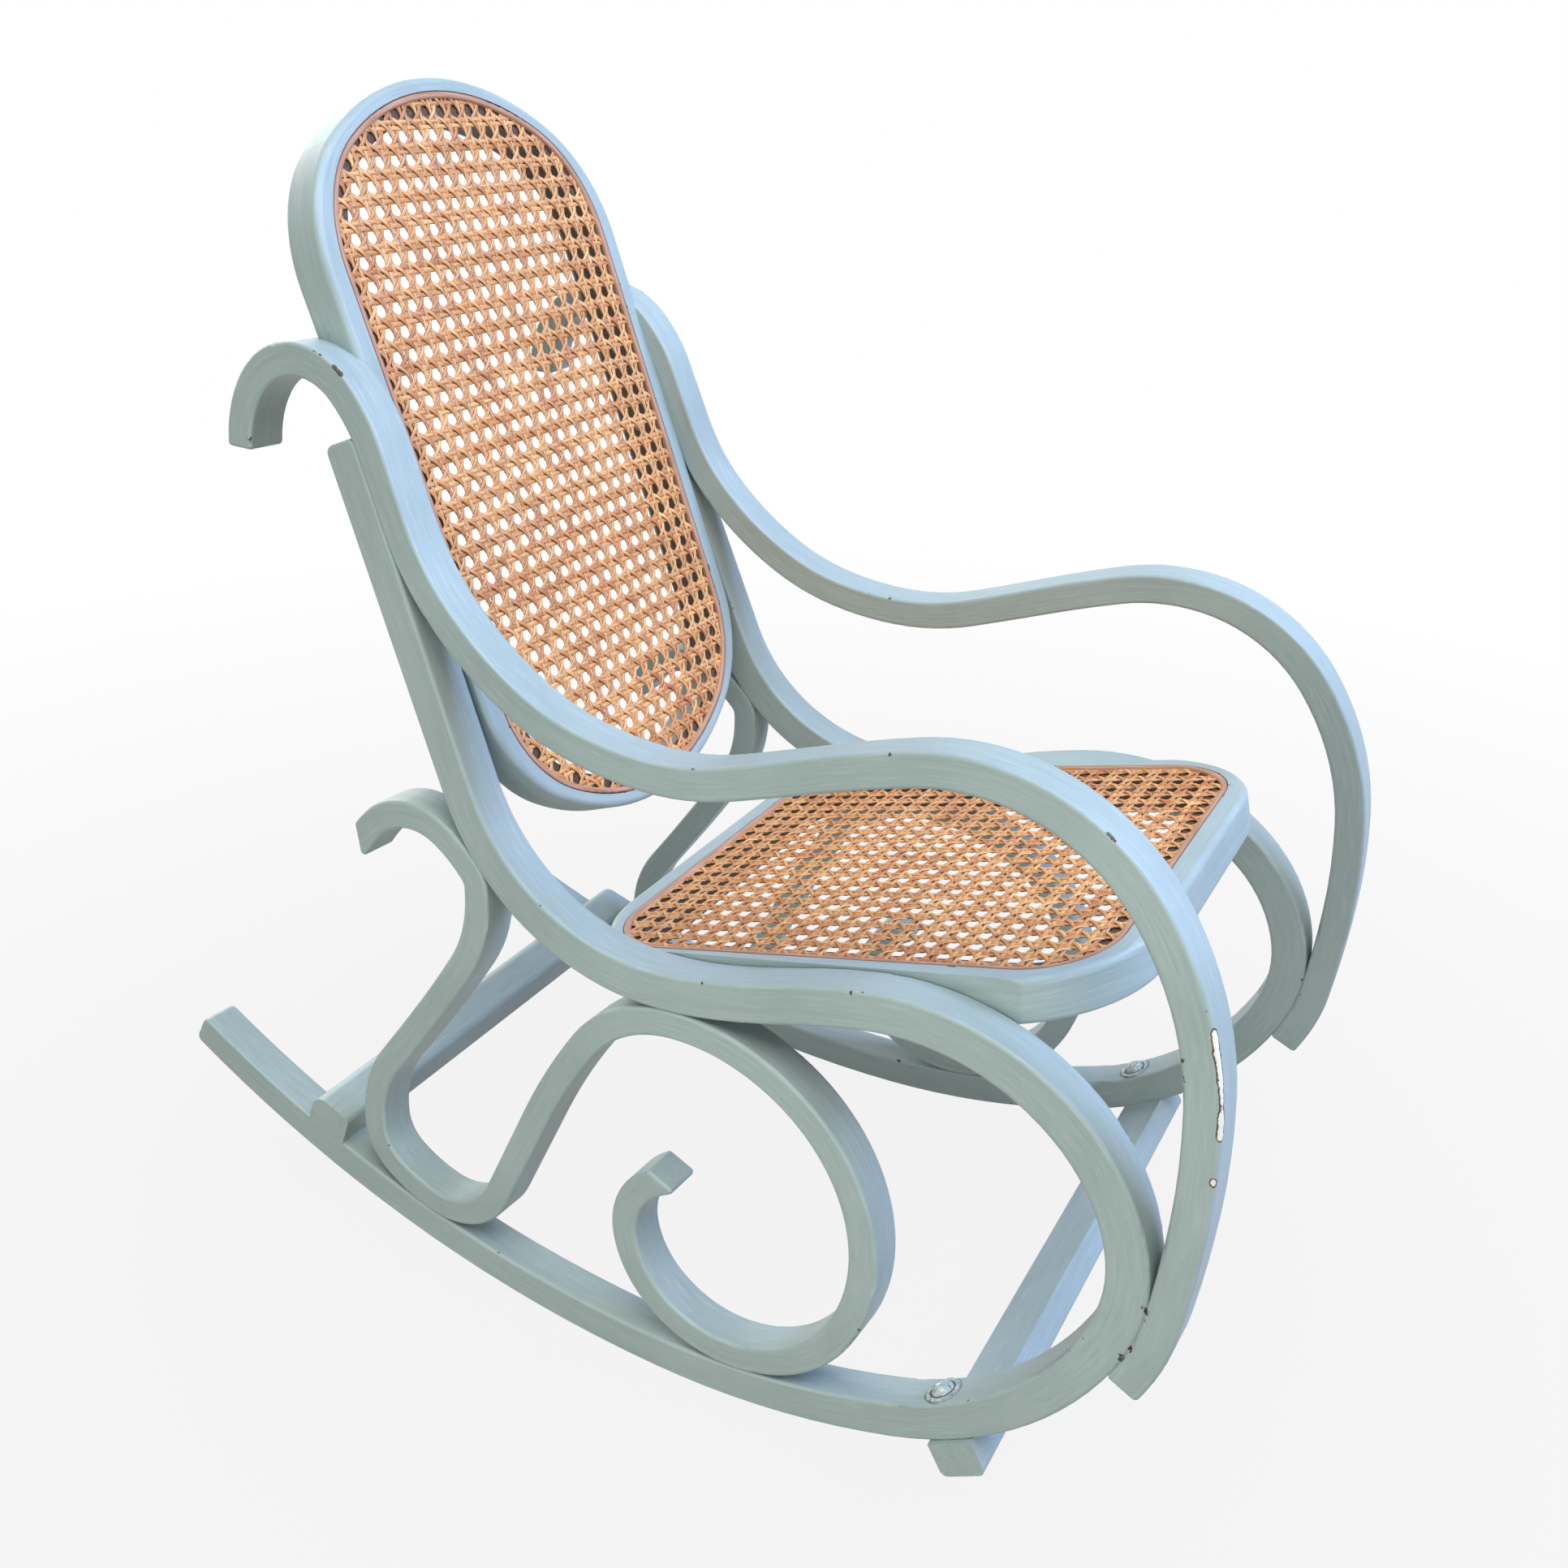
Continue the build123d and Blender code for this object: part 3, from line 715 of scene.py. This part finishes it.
def dull_steel():
    """Plated steel, painted over, chipped back to metal and rust in places, with painted shade in a dark
    ring round the heads.
    """
    steel = Shader("steel")
    blots = steel.noise(steel.place(), 300, 4, 0.6)
    rust = steel.ramp(steel.noise(steel.place(), 420, 3), 0.64, 0.68)
    shine = steel.ramp(blots, 0.50, 0.46)
    tone = steel.mix(shine, STEEL_PAINT, STEEL_BARE)
    tone = steel.mix(rust, tone, STEEL_RUST)
    # Painted shade: a dark ring on each washer, from its hole to just outside the head, where the head
    # shades it
    out = steel.attribute("reach", "Fac")
    outside_hole = steel.ramp(out, HOLE_SHARE, HOLE_SHARE + 0.08)
    beside_head = steel.ramp(out, HEAD_SHARE + 0.14, HEAD_SHARE + 0.08)
    tone = steel.mix(steel.maths("MULTIPLY", outside_hole, beside_head), tone, STEEL_HEAD_SHADE)
    metal = steel.maths("MULTIPLY", shine, steel.ramp(rust, 0, 1, 0.5, 0.0))
    return steel.finish(
        Base_Color=tone,
        Metallic=metal,
        Roughness=steel.ramp(blots, 0.3, 0.7, 0.34, 0.55),
        Normal=steel.bump(steel.maths("ADD", shine, rust), 0.0001),
    )


def clad(names, material):
    """Give the named nodes one material."""
    for name in names:
        nodes[name].data.materials.clear()
        nodes[name].data.materials.append(material)


for hand in ("right", "left"):
    mark_strip(hand + "_rocker_rail", rail_line, RAIL_THICK)
    mark_strip(hand + "_arm", arm_line, ARM_THICK)
    mark_strip(hand + "_scroll", scroll_line, SCROLL_THICK)
for name in ("front_stretcher", "rear_stretcher"):
    mark_bar(name)
mark_washers("stretcher_washers")
for name in ("seat_frame", "seat_spline"):
    mark_ring(name, SEAT_MIDDLE, SEAT_NORMAL, seat_reach, SEAT_RIM, SEAT_BRUSH_RADIUS)
for name in ("back_frame", "back_spline"):
    mark_ring(name, BACK_MIDDLE, BACK_NORMAL, back_reach, BACK_RIM, BACK_BRUSH_RADIUS)

cane_material = cane_fibre()
clad([n for n in nodes if n.endswith(("_rail", "_arm", "_scroll", "_frame", "_stretcher"))],
     painted_wood("painted_wood"))
clad(["right_arm"], painted_wood("knocked_paint", WHITE_KNOCKS, DARK_KNOCKS))
clad(["seat_spline", "back_spline"], brown_reed())
clad([n for n in nodes if n.endswith(("_screws", "_bolts", "_washers", "_nuts"))], dull_steel())
clad(["seat_cane", "back_cane"], cane_material)

seat_panel = Weave(seat_reach, SEAT_FAR, SEAT_MIDDLE, SEAT_NORMAL, 0, SEAT_SEED)
seat_weave = seat_panel.make("seat_weave", cane_material)
back_panel = Weave(back_reach, BACK_FAR, BACK_MIDDLE, BACK_NORMAL, BACK_ROW_SHIFT, BACK_SEED)
back_weave = back_panel.make("back_weave", cane_material)
for panel, node in ((seat_weave, "seat_cane"), (back_weave, "back_cane")):
    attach(panel, "root")
    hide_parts(node)


# The studio
def seen(tree):
    """1 for the rays that show the background: the camera's, and those that shiny things send back."""
    path = tree.nodes.new("ShaderNodeLightPath")
    share = path.outputs["Is Camera Ray"]
    for ray in ("Is Glossy Ray", "Is Transmission Ray"):
        either = tree.nodes.new("ShaderNodeMath")
        either.operation = "MAXIMUM"
        tree.links.new(share, either.inputs[0])
        tree.links.new(path.outputs[ray], either.inputs[1])
        share = either.outputs[0]
    return share


def pale_floor():
    """A floor that is seen almost white, with the chair's shadow on it, and quite white farther off."""
    mesh = bpy.data.meshes.new("floor")
    far = FLOOR_REACH
    mesh.from_pydata([(-far, -far, 0), (far, -far, 0), (far, far, 0), (-far, far, 0)], [], [(0, 1, 2, 3)])
    floor = bpy.data.objects.new("floor", mesh)
    bpy.context.scene.collection.objects.link(floor)
    pale = Shader("floor")
    pale.finish(Base_Color=FLOOR_COLOUR, Roughness=0.9, Specular_IOR_Level=0.1)
    glow = pale.add("Emission", {"Color": (1, 1, 1, 1), "Strength": 1.0})
    away = pale.add("VectorMath", {0: pale.place()}, operation="LENGTH").outputs["Value"]
    white = pale.ramp(away, FLOOR_NEAR, FLOOR_OFF, FLOOR_NEAR_WHITE, 1.0)
    share = pale.maths("MULTIPLY", seen(pale.tree), white)
    both = pale.add("MixShader", {0: share, 1: pale.skin.outputs[0], 2: glow.outputs[0]})
    pale.tree.links.new(both.outputs[0], pale.tree.nodes["Material Output"].inputs["Surface"])
    mesh.materials.append(pale.material)


def soft_world(tint, strength):
    """Even light from all round, on a background that is seen white."""
    world = bpy.data.worlds.new("studio")
    bpy.context.scene.world = world
    world.use_nodes = True
    tree = world.node_tree
    air = tree.nodes["Background"]
    air.inputs["Color"].default_value = tint
    air.inputs["Strength"].default_value = strength
    white = tree.nodes.new("ShaderNodeBackground")
    white.inputs["Color"].default_value = (1, 1, 1, 1)
    white.inputs["Strength"].default_value = 1
    choose = tree.nodes.new("ShaderNodeMixShader")
    tree.links.new(seen(tree), choose.inputs[0])
    tree.links.new(air.outputs[0], choose.inputs[1])
    tree.links.new(white.outputs[0], choose.inputs[2])
    tree.links.new(choose.outputs[0], tree.nodes["World Output"].inputs["Surface"])


def area_light(name, place, size, power, tint):
    """A square lamp turned to the chair, which the camera doesn't see."""
    light = bpy.data.lights.new(name, "AREA")
    light.size = size
    light.energy = power
    light.color = tint
    lamp = bpy.data.objects.new(name, light)
    lamp.location = place
    lamp.visible_camera = False
    lamp.rotation_euler = (LAMP_TARGET - Vector(place)).to_track_quat("-Z", "Y").to_euler()
    bpy.context.scene.collection.objects.link(lamp)


def photo_camera():
    """The camera, at the photograph's viewing angle."""
    camera = bpy.data.cameras.new("photo_camera")
    camera.lens = CAMERA_LENS
    camera.sensor_width = SENSOR_WIDTH
    eye = bpy.data.objects.new("photo_camera", camera)
    back = -CAMERA_LOOK.normalized()
    right = CAMERA_UP.cross(back).normalized()
    turn = Matrix((right, back.cross(right), back)).transposed().to_4x4()
    eye.matrix_world = Matrix.Translation(CAMERA_PLACE) @ turn
    bpy.context.scene.collection.objects.link(eye)
    bpy.context.scene.camera = eye


pale_floor()
soft_world(AIR_TINT, AIR_STRENGTH)
for name, (place, size, power, tint) in LAMPS.items():
    area_light(name, place, size, power, tint)
photo_camera()
bpy.context.scene.view_settings.view_transform = "Standard"
